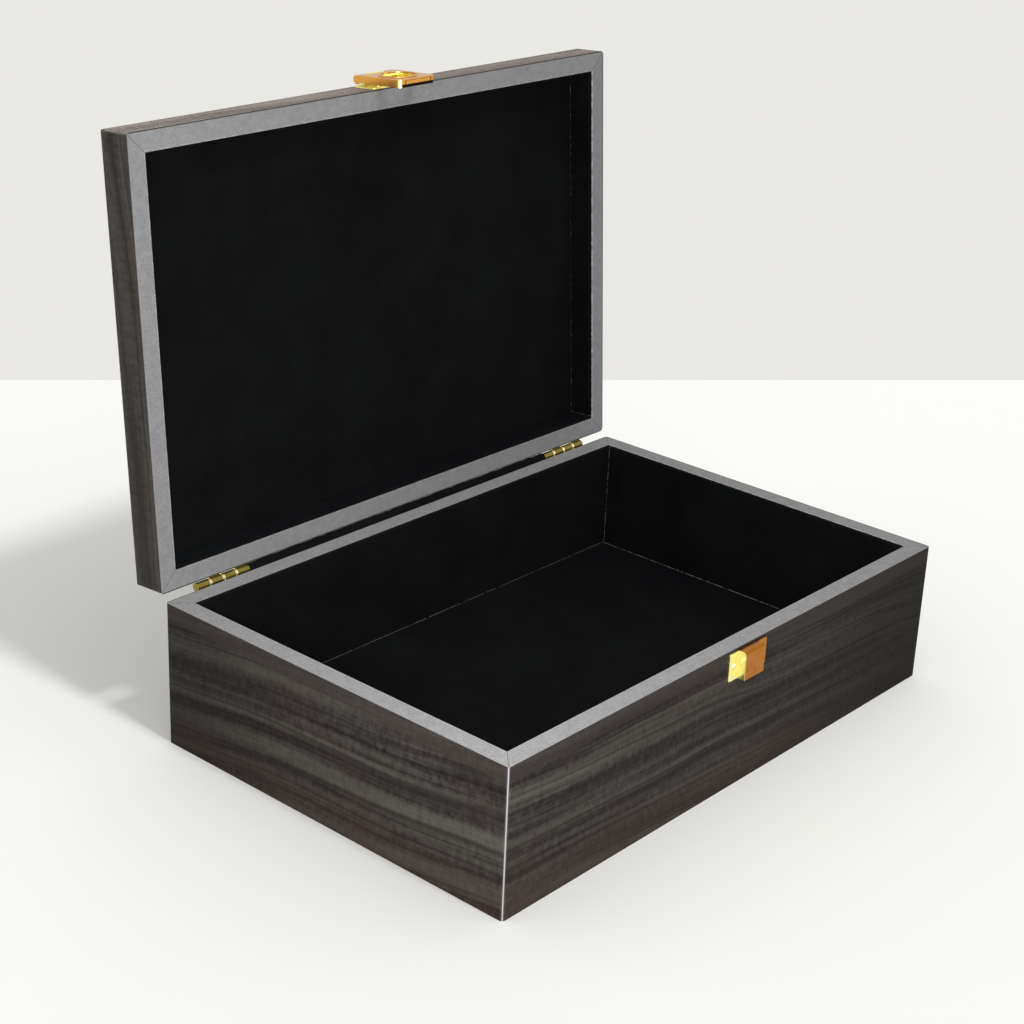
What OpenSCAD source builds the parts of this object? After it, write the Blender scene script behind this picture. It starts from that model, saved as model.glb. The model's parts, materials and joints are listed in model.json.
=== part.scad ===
// Velvet-lined hinged wooden display case: mitred boards, a framed lid on two
// butt hinges, and a small brass hasp and catch at the front.
// The case stands on the XY plane with its front towards -Y. The origin is the
// centre of the bottom face. The lid is drawn open, leaning back on its hinges.

/* [Case] */
// Outside width of the case, left to right
case_w = 300; // [200:5:420]
// Outside depth of the case, front to back
case_d = 199; // [140:1:320]
// Height of the base's walls
base_h = 68; // [45:1:120]
// Thickness of the wall boards and of the lid's rails
board_t = 9; // [8:0.5:14]
// Thickness of the base's floor board
floor_t = 9; // [3:0.5:14]
// Radius of the upright outer corners
corner_r = 2; // [0.5:0.5:5]

/* [Lid] */
// Height of the lid's rails
rail_h = 14.8; // [14.6:0.1:40]
// Thickness of the lid's top board
top_t = 3.2; // [2.4:0.1:8]
// Radius of the lid's upper outer edges
edge_r = 3; // [1:0.5:6]
// Gap between the two rims when the lid is shut
lid_gap = 0.4; // [0.2:0.1:1.5]
// Angle to which the hinges let the lid open
open_angle = 94; // [80:1:110]

/* [Lining] */
// Thickness of the velvet-covered cards on the walls
liner_t = 0.9; // [0.5:0.1:3]
// Thickness of the velvet pad on the base's floor
floor_pad_t = 3.2; // [1:0.2:8]
// Thickness of the velvet card inside the lid's top
lid_pad_t = 0.9; // [0.5:0.1:4]
// How far the wall cards stop short of the rims
liner_drop = 0.8; // [0:0.1:4]
// Seam between neighbouring cards
liner_gap = 0.3; // [0.2:0.1:1]

/* [Hinges] */
// Width of each hinge
hinge_w = 30; // [24:1:50]
// Distance from the case's side to the middle of a hinge
hinge_inset = 34; // [28:1:60]
// Height of each leaf, from the barrel's edge
leaf_h = 12; // [8:0.5:12.5]
// Thickness of the leaves
leaf_t = 0.9; // [0.7:0.1:1.2]
// Outside diameter of the barrel
barrel_d = 4; // [3.6:0.1:4.4]
// Diameter of the hinge pin
hinge_pin_d = 1.6; // [1.2:0.1:2]
// Distance of the pin's axis behind the back face
hinge_offset = 2.4; // [2.3:0.1:3]
// Knuckles on each hinge, counting both leaves
knuckles = 4; // [2:2:8]

/* [Latch] */
// Sideways place of the latch from the middle of the front
latch_x = 2; // [-20:0.5:20]
// Width of the catch's back plate
catch_w = 26.6; // [24:0.2:40]
// Height of the catch
catch_h = 13; // [12.4:0.2:13]
// Thickness of the catch's back plate
catch_t = 0.8; // [0.5:0.1:1.2]
// How far below the base's rim the catch starts
catch_drop = 1; // [0:0.2:4]
// Width of the catch's raised block
block_w = 14; // [10:0.5:15]
// How far the raised block stands off the front
block_d = 4.6; // [4.2:0.1:6]
// Radius of the block's upper front edge
block_r = 1.4; // [0.4:0.1:3]
// How far below the base's rim the detent sits
detent_drop = 11; // [10.8:0.1:11.8]
// Width of the hasp's flap and of its fixed plate
flap_w = 23; // [21:0.5:26]
// How far the flap reaches below the lid's rim
flap_drop = 15.2; // [14:0.1:17]
// Thickness of the flap's face
flap_t = 0.6; // [0.5:0.1:1]
// Depth of the flap's turned-in edges
skirt_d = 3.4; // [1.5:0.1:3.4]
// Radius of the flap's lower corners
flap_r = 3; // [1.5:0.1:3.5]
// Diameter of the flap's round window
window_d = 15.8; // [10:0.2:16]
// How far below the lid's rim the middle of the window sits
window_drop = 2.6; // [1:0.1:2.6]
// Width of the window's raised lip
lip_w = 1; // [0.6:0.1:1.4]
// Height of the window's raised lip
lip_h = 0.4; // [0.2:0.1:0.8]
// Height of the hasp's pin above the lid's rim
hasp_up = 12.4; // [11.8:0.1:14]
// Outside diameter of the hasp's barrel
hasp_barrel_d = 4; // [3.4:0.1:4.4]
// Diameter of the hasp's pin
hasp_pin_d = 1.4; // [1:0.1:1.8]
// Width of the fixed plate's middle knuckle
mid_knuckle_w = 11.5; // [8:0.5:14]
// Thickness of the hasp's fixed plate
hasp_plate_t = 0.7; // [0.5:0.1:1.2]
// How far above the lid's rim the fixed plate starts
hasp_plate_up = 1; // [0.2:0.1:2]

/* [Nails] */
// Diameter of the nails
nail_d = 1.3; // [1:0.1:1.6]
// Diameter of the nail heads
head_d = 2.6; // [2:0.1:3]
// Height of the nail heads
head_h = 0.7; // [0.4:0.1:1]
// Length of the nails under the head
nail_l = 6.5; // [4:0.5:7.5]
// Distance between neighbouring nails on a hinge leaf
hinge_nail_pitch = 10; // [6:0.5:10]
// Distance between the two nails of the hasp's plate
hasp_nail_pitch = 13; // [8:0.5:15]
// Height of those two nails above the lid's rim
hasp_nail_up = 4.6; // [4:0.1:8]

/* [Hidden] */
$fn = 48;

laminate = "#3c3532";
velvet = "#0c0c10";
gold = "#d09a3c";

// Radial clearance of each pin in its knuckles
pin_clear = 0.05;
// Clearance along the pin between two knuckles
knuckle_gap = 0.15;
// Clearance between a leaf and the knuckles of the other leaf
leaf_clear = 0.3;
// Clearance of the nails in their pilot holes, across the diameter
pilot_clear = 0.1;
// Clearance between the catch's block and the flap that shuts over it
latch_clear = 0.25;
// Corner radius of the small plates
plate_r = 1;
// Diameter and height of the flap's detent pip
pip_d = 1.6;
pip_h = 0.15;
// Diameter and depth of the dimple that the pip drops into
dimple_d = 2.2;
dimple_h = 0.3;
// Flat left on the lid's edge under its rounding
edge_land = 0.2;
// Overshoot of the cuts
over = 1;

back_y = case_d / 2;
front_y = -case_d / 2;
inner_w = case_w - 2 * board_t;
inner_d = case_d - 2 * board_t;
floor_top = floor_t + floor_pad_t;
lid_low = base_h + lid_gap;
rail_top = lid_low + rail_h;
pivot_y = back_y + hinge_offset;
pivot_z = base_h + lid_gap / 2;
barrel_r = barrel_d / 2;
knuckle_pitch = hinge_w / knuckles;
hinge_xs = [-case_w / 2 + hinge_inset, case_w / 2 - hinge_inset];
leaf_start = barrel_r + leaf_clear;
hinge_nail_z = leaf_start + leaf_h / 2;
catch_top = base_h - catch_drop;
catch_low = catch_top - catch_h;
catch_nail_x = (catch_w + block_w) / 4;
flap_face = block_d + latch_clear + flap_t;
hasp_barrel_r = hasp_barrel_d / 2;
hasp_y = front_y - flap_face + hasp_barrel_r;
hasp_z = lid_low + hasp_up;
flap_low = lid_low - flap_drop;
side_knuckle_w = (flap_w - mid_knuckle_w) / 2 - knuckle_gap;
detent_z = base_h - detent_drop;

// Turns what is drawn with the lid shut about the hinge pins to the open lid
module opened() {
    translate([0, pivot_y, pivot_z])
        rotate([-open_angle, 0, 0])
            translate([0, -pivot_y, -pivot_z])
                children();
}

// Upright column with the case's outline and its rounded corners
module case_column(z, h) {
    corner_x = case_w / 2 - corner_r;
    corner_y = case_d / 2 - corner_r;
    translate([0, 0, z]) {
        translate([-case_w / 2, -corner_y, 0]) cube([case_w, 2 * corner_y, h]);
        translate([-corner_x, -case_d / 2, 0]) cube([2 * corner_x, case_d, h]);
        for (x = [-corner_x, corner_x], y = [-corner_y, corner_y])
            translate([x, y, 0]) cylinder(r = corner_r, h = h);
    }
}

// Board along the front, with both ends mitred
module front_board(z, h) {
    intersection() {
        translate([0, 0, z])
            linear_extrude(h)
                polygon([
                    [-case_w / 2, front_y],
                    [case_w / 2, front_y],
                    [case_w / 2 - board_t, front_y + board_t],
                    [-case_w / 2 + board_t, front_y + board_t]
                ]);
        case_column(z, h);
    }
}

// Board along the left side, with both ends mitred
module left_board(z, h) {
    intersection() {
        translate([0, 0, z])
            linear_extrude(h)
                polygon([
                    [-case_w / 2, front_y],
                    [-case_w / 2, back_y],
                    [-case_w / 2 + board_t, back_y - board_t],
                    [-case_w / 2 + board_t, front_y + board_t]
                ]);
        case_column(z, h);
    }
}

// Card against the inner face of the front board, from z to top
module front_card(z, top) {
    translate([-inner_w / 2 + liner_gap, -inner_d / 2, z])
        cube([inner_w - 2 * liner_gap, liner_t, top - z]);
}

// Card against the inner face of the left board, between the other two cards
module left_card(z, top) {
    free_d = inner_d - 2 * (liner_t + liner_gap);
    translate([-inner_w / 2, -free_d / 2, z])
        cube([liner_t, free_d, top - z]);
}

// Flat card that fills the inside of the boards, with a seam all round
module flat_card(z, h) {
    translate([-inner_w / 2 + liner_gap, -inner_d / 2 + liner_gap, z])
        cube([inner_w - 2 * liner_gap, inner_d - 2 * liner_gap, h]);
}

// Solid drawn in the XZ plane and carried from y = 0 to y = -depth
module raised(depth) {
    rotate([90, 0, 0]) linear_extrude(depth) children();
}

// Rectangle about x = 0 and up from z = 0, with its corners rounded
module round_plate(w, h, r) {
    translate([-w / 2, r]) square([w, h - 2 * r]);
    translate([-w / 2 + r, 0]) square([w - 2 * r, h]);
    for (x = [-w / 2 + r, w / 2 - r], z = [r, h - r])
        translate([x, z]) circle(r);
}

// Nail along +Y from the origin, with its domed head on the -Y side
module nail() {
    dome_r = (pow(head_d / 2, 2) + pow(head_h, 2)) / (2 * head_h);
    rotate([-90, 0, 0]) cylinder(d = nail_d, h = nail_l);
    rotate([90, 0, 0])
        intersection() {
            cylinder(d = head_d, h = head_h);
            translate([0, 0, head_h - dome_r]) sphere(dome_r);
        }
}

// Cut for a nail's shank, through a plate of thickness t and into the board
module pilot(t) {
    translate([0, -over, 0])
        rotate([-90, 0, 0])
            cylinder(d = nail_d + pilot_clear, h = over + t + nail_l);
}

// Places of a hinge leaf's nails, on its outer face and pointing to the front
module at_hinge_nails(up) {
    for (hinge_x = hinge_xs, i = [-1, 0, 1])
        translate([hinge_x + i * hinge_nail_pitch, back_y + leaf_t, pivot_z + up * hinge_nail_z])
            rotate([0, 0, 180])
                children();
}

// Places of the catch's two nails, on the front of its plate
module at_catch_nails() {
    for (side = [-1, 1])
        translate([latch_x + side * catch_nail_x, front_y - catch_t, catch_low + catch_h / 2])
            children();
}

// Places of the two nails of the hasp's plate, on the front of that plate
module at_hasp_nails() {
    for (side = [-1, 1])
        translate([
            latch_x + side * hasp_nail_pitch / 2,
            front_y - hasp_plate_t,
            lid_low + hasp_nail_up
        ])
            children();
}

// Base

module base_front_wall() {
    color(laminate)
        difference() {
            front_board(0, base_h);
            at_catch_nails() pilot(catch_t);
        }
}

module base_back_wall() {
    color(laminate)
        difference() {
            mirror([0, 1, 0]) front_board(0, base_h);
            at_hinge_nails(-1) pilot(leaf_t);
        }
}

module base_left_wall() {
    color(laminate) left_board(0, base_h);
}

module base_right_wall() {
    color(laminate) mirror([1, 0, 0]) left_board(0, base_h);
}

module base_floor_board() {
    color(laminate)
        translate([-inner_w / 2, -inner_d / 2, 0])
            cube([inner_w, inner_d, floor_t]);
}

module base_floor_pad() {
    color(velvet) flat_card(floor_t, floor_pad_t);
}

module base_front_liner() {
    color(velvet) front_card(floor_top + liner_gap, base_h - liner_drop);
}

module base_back_liner() {
    color(velvet) mirror([0, 1, 0]) front_card(floor_top + liner_gap, base_h - liner_drop);
}

module base_left_liner() {
    color(velvet) left_card(floor_top + liner_gap, base_h - liner_drop);
}

module base_right_liner() {
    color(velvet) mirror([1, 0, 0]) left_card(floor_top + liner_gap, base_h - liner_drop);
}

// Lid

module lid_front_rail() {
    color(laminate)
        opened()
            difference() {
                front_board(lid_low, rail_h);
                at_hasp_nails() pilot(hasp_plate_t);
            }
}

module lid_back_rail() {
    color(laminate)
        opened()
            difference() {
                mirror([0, 1, 0]) front_board(lid_low, rail_h);
                at_hinge_nails(1) pilot(leaf_t);
            }
}

module lid_left_rail() {
    color(laminate) opened() left_board(lid_low, rail_h);
}

module lid_right_rail() {
    color(laminate) opened() mirror([1, 0, 0]) left_board(lid_low, rail_h);
}

// Section of the top board, of width w, with its two upper corners rounded
module top_section(w) {
    r = min(edge_r, top_t - edge_land);
    translate([-w / 2, 0]) square([w, top_t - r]);
    translate([-w / 2 + r, 0]) square([w - 2 * r, top_t]);
    for (x = [-w / 2 + r, w / 2 - r])
        translate([x, top_t - r])
            intersection() {
                circle(r);
                translate([-r, -edge_land]) square([2 * r, r + edge_land]);
            }
}

module lid_top_board() {
    color(laminate)
        opened()
            intersection() {
                case_column(rail_top, top_t);
                translate([0, back_y, rail_top]) raised(case_d) top_section(case_w);
                translate([-case_w / 2, 0, rail_top])
                    rotate([0, 0, 90])
                        raised(case_w) top_section(case_d);
            }
}

module lid_top_liner() {
    color(velvet) opened() flat_card(rail_top - lid_pad_t, lid_pad_t);
}

module lid_front_liner() {
    color(velvet) opened() front_card(lid_low + liner_drop, rail_top - lid_pad_t - liner_gap);
}

module lid_back_liner() {
    color(velvet)
        opened()
            mirror([0, 1, 0])
                front_card(lid_low + liner_drop, rail_top - lid_pad_t - liner_gap);
}

module lid_left_liner() {
    color(velvet) opened() left_card(lid_low + liner_drop, rail_top - lid_pad_t - liner_gap);
}

module lid_right_liner() {
    color(velvet)
        opened()
            mirror([1, 0, 0])
                left_card(lid_low + liner_drop, rail_top - lid_pad_t - liner_gap);
}

// Hinges

// Leaf below the pin, with the knuckles first, first + 2 and so on
module hinge_leaf(hinge_x, first) {
    difference() {
        union() {
            translate([hinge_x, back_y + leaf_t, pivot_z - leaf_start - leaf_h])
                raised(leaf_t)
                    round_plate(hinge_w, leaf_h, plate_r);
            for (i = [first : 2 : knuckles - 1])
                translate([hinge_x - hinge_w / 2 + i * knuckle_pitch + knuckle_gap / 2, 0, pivot_z]) {
                    translate([0, back_y, -leaf_start - plate_r])
                        cube([knuckle_pitch - knuckle_gap, leaf_t, leaf_start + plate_r - leaf_clear]);
                    translate([0, pivot_y, 0])
                        rotate([0, 90, 0])
                            cylinder(r = barrel_r, h = knuckle_pitch - knuckle_gap);
                }
        }
        translate([hinge_x - hinge_w / 2 - over, pivot_y, pivot_z])
            rotate([0, 90, 0])
                cylinder(d = hinge_pin_d + 2 * pin_clear, h = hinge_w + 2 * over);
        at_hinge_nails(-1) pilot(leaf_t);
    }
}

// Leaf above the pin, which takes the knuckles that the lower leaf leaves free
module upper_leaf(hinge_x) {
    translate([0, 0, 2 * pivot_z])
        mirror([0, 0, 1])
            hinge_leaf(hinge_x, 1);
}

module hinge_pin(hinge_x) {
    translate([hinge_x - hinge_w / 2, pivot_y, pivot_z])
        rotate([0, 90, 0])
            cylinder(d = hinge_pin_d, h = hinge_w);
}

module left_hinge_base_leaf() {
    color(gold) hinge_leaf(hinge_xs[0], 0);
}

module right_hinge_base_leaf() {
    color(gold) hinge_leaf(hinge_xs[1], 0);
}

module left_hinge_lid_leaf() {
    color(gold) opened() upper_leaf(hinge_xs[0]);
}

module right_hinge_lid_leaf() {
    color(gold) opened() upper_leaf(hinge_xs[1]);
}

module left_hinge_pin() {
    color(gold) hinge_pin(hinge_xs[0]);
}

module right_hinge_pin() {
    color(gold) hinge_pin(hinge_xs[1]);
}

module hinge_base_nails() {
    color(gold) at_hinge_nails(-1) nail();
}

module hinge_lid_nails() {
    color(gold) opened() at_hinge_nails(1) nail();
}

// Latch

// Raised block of the catch, with its upper front edge rounded
module catch_block() {
    translate([latch_x - block_w / 2, front_y, catch_low])
        difference() {
            translate([0, -block_d, 0]) cube([block_w, block_d, catch_h]);
            translate([-over, -block_d, catch_h - block_r])
                difference() {
                    translate([0, -over, 0]) cube([block_w + 2 * over, block_r + over, block_r + over]);
                    translate([0, block_r, 0])
                        rotate([0, 90, 0])
                            cylinder(r = block_r, h = block_w + 2 * over);
                }
        }
}

module catch() {
    dome_r = (pow(dimple_d / 2, 2) + pow(dimple_h, 2)) / (2 * dimple_h);
    color(gold)
        difference() {
            union() {
                translate([latch_x, front_y, catch_low])
                    raised(catch_t)
                        round_plate(catch_w, catch_h, plate_r);
                catch_block();
            }
            translate([latch_x, front_y - block_d - dome_r + dimple_h, detent_z]) sphere(dome_r);
            at_catch_nails() pilot(catch_t);
        }
}

module catch_nails() {
    color(gold) at_catch_nails() nail();
}

// Cylinder about the hasp's axis, from x to x + w on the latch's own middle
module hasp_roll(x, w, r) {
    translate([latch_x + x, hasp_y, hasp_z])
        rotate([0, 90, 0])
            cylinder(r = r, h = w);
}

module hasp_plate() {
    web = hasp_barrel_r - 0.1;
    plate_low = lid_low + hasp_plate_up;
    color(gold)
        opened()
            difference() {
                union() {
                    translate([latch_x, front_y, plate_low])
                        raised(hasp_plate_t)
                            round_plate(flap_w, hasp_z + web - plate_low, plate_r);
                    hasp_roll(-mid_knuckle_w / 2, mid_knuckle_w, hasp_barrel_r);
                    translate([latch_x - mid_knuckle_w / 2, hasp_y, hasp_z + web / 3])
                        cube([mid_knuckle_w, front_y - hasp_y, web * 2 / 3]);
                }
                hasp_roll(-flap_w / 2 - over, flap_w + 2 * over, hasp_pin_d / 2 + pin_clear);
                at_hasp_nails() pilot(hasp_plate_t);
            }
}

module hasp_pin() {
    color(gold) opened() hasp_roll(-flap_w / 2, flap_w, hasp_pin_d / 2);
}

module hasp_nails() {
    color(gold) opened() at_hasp_nails() nail();
}

// Outline of the flap inside a margin, from its lower end up to the pin's axis
module flap_outline(margin) {
    w = flap_w - 2 * margin;
    r = flap_r - margin;
    h = hasp_z - flap_low - margin;
    translate([0, margin]) {
        translate([-w / 2, r]) square([w, h - r]);
        translate([-w / 2 + r, 0]) square([w - 2 * r, h]);
        for (x = [-w / 2 + r, w / 2 - r])
            translate([x, r]) circle(r);
    }
}

module hasp_flap() {
    face_y = front_y - flap_face;
    notch_w = block_w + 4 * latch_clear;
    knuckle_slot_w = mid_knuckle_w + 2 * knuckle_gap;
    color(gold)
        opened()
            difference() {
                union() {
                    translate([latch_x, face_y + skirt_d, flap_low])
                        raised(skirt_d)
                            flap_outline(0);
                    translate([latch_x, face_y, lid_low - window_drop])
                        rotate([90, 0, 0])
                            cylinder(d = window_d + 2 * lip_w, h = lip_h);
                    hasp_roll(-flap_w / 2, side_knuckle_w, hasp_barrel_r);
                    hasp_roll(flap_w / 2 - side_knuckle_w, side_knuckle_w, hasp_barrel_r);
                }
                // Hollow of the pan, behind the face and between the skirts
                difference() {
                    translate([latch_x, face_y + skirt_d + over, flap_low])
                        raised(skirt_d + over - flap_t)
                            flap_outline(flap_t);
                    translate([latch_x, face_y + flap_t, detent_z])
                        rotate([-90, 0, 0])
                            cylinder(d = pip_d, h = pip_h);
                    hasp_roll(-flap_w / 2, side_knuckle_w, hasp_barrel_r);
                    hasp_roll(flap_w / 2 - side_knuckle_w, side_knuckle_w, hasp_barrel_r);
                }
                // Room for the catch's block to pass the lower skirt
                translate([latch_x - notch_w / 2, face_y + flap_t, flap_low - over])
                    cube([notch_w, skirt_d, over + flap_t + latch_clear]);
                // Round window
                translate([latch_x, face_y + flap_t + over, lid_low - window_drop])
                    rotate([90, 0, 0])
                        cylinder(d = window_d, h = flap_t + lip_h + 2 * over);
                // Slot for the fixed plate's knuckle
                translate([latch_x - knuckle_slot_w / 2, face_y - over, hasp_z - hasp_barrel_r - leaf_clear])
                    cube([knuckle_slot_w, skirt_d + 2 * over, 2 * hasp_barrel_r + 2 * leaf_clear]);
                hasp_roll(-flap_w / 2 - over, flap_w + 2 * over, hasp_pin_d / 2 + pin_clear);
            }
}

base_front_wall();
base_back_wall();
base_left_wall();
base_right_wall();
base_floor_board();
base_floor_pad();
base_front_liner();
base_back_liner();
base_left_liner();
base_right_liner();
lid_front_rail();
lid_back_rail();
lid_left_rail();
lid_right_rail();
lid_top_board();
lid_top_liner();
lid_front_liner();
lid_back_liner();
lid_left_liner();
lid_right_liner();
left_hinge_base_leaf();
right_hinge_base_leaf();
left_hinge_lid_leaf();
right_hinge_lid_leaf();
left_hinge_pin();
right_hinge_pin();
hinge_base_nails();
hinge_lid_nails();
catch();
catch_nails();
hasp_plate();
hasp_pin();
hasp_nails();
hasp_flap();
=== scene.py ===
"""Looks of a velvet-lined, hinged display case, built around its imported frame."""
import json
import math
import random

import bmesh
import bpy
from mathutils import Matrix, Vector


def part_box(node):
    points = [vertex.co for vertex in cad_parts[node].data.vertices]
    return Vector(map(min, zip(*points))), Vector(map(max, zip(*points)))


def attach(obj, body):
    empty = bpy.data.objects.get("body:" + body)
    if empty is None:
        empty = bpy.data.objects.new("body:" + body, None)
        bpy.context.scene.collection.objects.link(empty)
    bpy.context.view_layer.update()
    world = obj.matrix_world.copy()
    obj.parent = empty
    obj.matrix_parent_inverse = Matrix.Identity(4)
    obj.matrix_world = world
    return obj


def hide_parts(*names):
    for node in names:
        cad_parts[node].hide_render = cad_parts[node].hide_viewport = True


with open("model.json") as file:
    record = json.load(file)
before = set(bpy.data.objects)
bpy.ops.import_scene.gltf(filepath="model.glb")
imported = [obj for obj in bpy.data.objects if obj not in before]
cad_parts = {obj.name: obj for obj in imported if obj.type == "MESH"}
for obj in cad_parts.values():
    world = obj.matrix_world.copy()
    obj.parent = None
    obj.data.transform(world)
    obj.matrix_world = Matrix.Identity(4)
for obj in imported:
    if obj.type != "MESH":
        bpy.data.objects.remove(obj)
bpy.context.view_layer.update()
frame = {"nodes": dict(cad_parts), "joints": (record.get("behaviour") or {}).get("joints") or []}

MM = 0.001
NODES = frame["nodes"]
Y_AXIS = 1
Z_AXIS = 2

# Places of the case that come from the frame

LID_JOINT = next(joint for joint in frame["joints"] if joint["name"] == "lid_hinge")
PIVOT = Vector(LID_JOINT["pos_m"])
OPEN_ANGLE = math.radians(LID_JOINT["range_deg"][1])
LEFT_LO, LEFT_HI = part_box("base_left_wall")
BOARD_T = LEFT_HI.x - LEFT_LO.x
HALF_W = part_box("base_right_wall")[1].x
HALF_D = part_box("base_back_wall")[1].y
BASE_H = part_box("base_front_wall")[1].z
LID_GAP = 2 * (PIVOT.z - BASE_H)
LID_LOW = BASE_H + LID_GAP


def opening():
    """Turn from the shut lid to the open one."""
    turn = Matrix.Rotation(-OPEN_ANGLE, 4, "X")
    return Matrix.Translation(PIVOT) @ turn @ Matrix.Translation(-PIVOT)


def shut_box(node):
    """Box of a lid node with the lid turned back to shut."""
    back = opening().inverted()
    places = [back @ vertex.co for vertex in NODES[node].data.vertices]
    lo = Vector([min(place[i] for place in places) for i in range(3)])
    hi = Vector([max(place[i] for place in places) for i in range(3)])
    return lo, hi


# Places of the metal, with the lid shut

HINGE_LO, HINGE_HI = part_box("right_hinge_pin")
HINGE_W = HINGE_HI.x - HINGE_LO.x
HINGE_X = (HINGE_LO.x + HINGE_HI.x) / 2
KNUCKLES = 4
BARREL_R = 2 * MM
JOINT_END = 0.12
JOINT_FULL = 0.07
OUTER_JOINT_END = 1.7
OUTER_JOINT_FULL = 1.5
CATCH_LO, CATCH_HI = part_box("catch")
BLOCK_HALF = 7 * MM
BLOCK_LEFT = (CATCH_LO.x + CATCH_HI.x) / 2 - BLOCK_HALF
FLAP_LO, FLAP_HI = shut_box("hasp_flap")
WINDOW_LIP_H = 0.4 * MM
FLAP_FACE = FLAP_LO.y + WINDOW_LIP_H
LATCH_X = (FLAP_LO.x + FLAP_HI.x) / 2
FLAP_HALF = FLAP_HI.x - LATCH_X


def srgb(red, green, blue):
    """Linear colour of three values from 0 to 255."""
    linear = []
    for value in (red, green, blue):
        value /= 255
        linear.append(value / 12.92 if value <= 0.04045 else ((value + 0.055) / 1.055) ** 2.4)
    return (*linear, 1)


# Shader nodes

class Shader:
    """A material's node tree, with short calls for the nodes that are used here."""

    def __init__(self, name):
        self.material = bpy.data.materials.new(name)
        self.material.use_nodes = True
        self.tree = self.material.node_tree
        self.surface = self.tree.nodes["Principled BSDF"]

    def link(self, source, socket):
        """Sets a socket from another socket, or to a constant."""
        if isinstance(source, bpy.types.NodeSocket):
            self.tree.links.new(source, socket)
        else:
            socket.default_value = source

    def put(self, name, source):
        """Sets one of the surface's own sockets."""
        self.link(source, self.surface.inputs[name])

    def math(self, operation, first, second=0.0, clamp=False):
        node = self.tree.nodes.new("ShaderNodeMath")
        node.operation = operation
        node.use_clamp = clamp
        self.link(first, node.inputs[0])
        self.link(second, node.inputs[1])
        return node.outputs[0]

    def plus(self, first, second, clamp=False):
        return self.math("ADD", first, second, clamp)

    def minus(self, first, second):
        return self.math("SUBTRACT", first, second)

    def times(self, first, second):
        return self.math("MULTIPLY", first, second)

    def distance(self, value, centre):
        """How far a value is from a centre, either way."""
        return self.math("ABSOLUTE", self.minus(value, centre))

    def step(self, value, low, high, to_low=0.0, to_high=1.0):
        """Smooth change from to_low to to_high as value goes from low to high."""
        node = self.tree.nodes.new("ShaderNodeMapRange")
        node.interpolation_type = "SMOOTHSTEP"
        self.link(value, node.inputs["Value"])
        self.link(low, node.inputs["From Min"])
        self.link(high, node.inputs["From Max"])
        self.link(to_low, node.inputs["To Min"])
        self.link(to_high, node.inputs["To Max"])
        return node.outputs["Result"]

    def mix(self, share, first, second, blend="MIX"):
        """Colour that goes from first to second with share."""
        node = self.tree.nodes.new("ShaderNodeMix")
        node.data_type = "RGBA"
        node.blend_type = blend
        self.link(share, node.inputs["Factor"])
        self.link(first, node.inputs[6])
        self.link(second, node.inputs[7])
        return node.outputs[2]

    def tinted(self, colour, tint):
        """Colour multiplied by a tint or by a value."""
        return self.mix(1.0, colour, tint, "MULTIPLY")

    def between(self, share, first, second):
        """Value that goes from first to second with share."""
        node = self.tree.nodes.new("ShaderNodeMix")
        self.link(share, node.inputs["Factor"])
        self.link(first, node.inputs[2])
        self.link(second, node.inputs[3])
        return node.outputs[0]

    def noise(self, vector, scale, detail=3.0, roughness=0.55):
        """Noise from 0 to 1, with scale in cells per metre of the vector."""
        node = self.tree.nodes.new("ShaderNodeTexNoise")
        self.link(vector, node.inputs["Vector"])
        node.inputs["Scale"].default_value = scale
        node.inputs["Detail"].default_value = detail
        node.inputs["Roughness"].default_value = roughness
        return node.outputs["Fac"]

    def drawn_noise(self, along, across, seed, cells, detail, roughness=0.55):
        """Noise that is drawn out, with its own number of cells per metre along and across."""
        cells_along, cells_across = cells
        vector = self.vector(self.times(along, cells_along), self.times(across, cells_across), seed)
        return self.noise(vector, 1.0, detail, roughness)

    def ramp(self, share, stops):
        node = self.tree.nodes.new("ShaderNodeValToRGB")
        elements = node.color_ramp.elements
        while len(elements) < len(stops):
            elements.new(0.5)
        for element, (place, colour) in zip(elements, stops):
            element.position = place
            element.color = colour
        self.link(share, node.inputs["Fac"])
        return node.outputs["Color"]

    def vector(self, x, y, z):
        node = self.tree.nodes.new("ShaderNodeCombineXYZ")
        for source, socket in zip((x, y, z), node.inputs):
            self.link(source, socket)
        return node.outputs[0]

    def split(self, vector):
        node = self.tree.nodes.new("ShaderNodeSeparateXYZ")
        self.link(vector, node.inputs[0])
        return node.outputs[0], node.outputs[1], node.outputs[2]

    def coordinates(self, opened):
        """Place and normal in the case's own axes, with the lid turned back to shut if opened."""
        node = self.tree.nodes.new("ShaderNodeTexCoord")
        place, normal = node.outputs["Object"], node.outputs["Normal"]
        if opened:
            place = self.turned(place, PIVOT)
            normal = self.turned(normal, Vector((0, 0, 0)))
        return place, normal

    def turned(self, vector, centre):
        node = self.tree.nodes.new("ShaderNodeVectorRotate")
        node.rotation_type = "X_AXIS"
        self.link(vector, node.inputs["Vector"])
        node.inputs["Center"].default_value = centre
        node.inputs["Angle"].default_value = OPEN_ANGLE
        return node.outputs[0]

    def bump(self, height, strength, distance, below=None):
        node = self.tree.nodes.new("ShaderNodeBump")
        node.inputs["Strength"].default_value = strength
        node.inputs["Distance"].default_value = distance
        self.link(height, node.inputs["Height"])
        if below is not None:
            self.link(below, node.inputs["Normal"])
        return node.outputs[0]


# Printed grain, whose cells are per metre along and across a board

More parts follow.
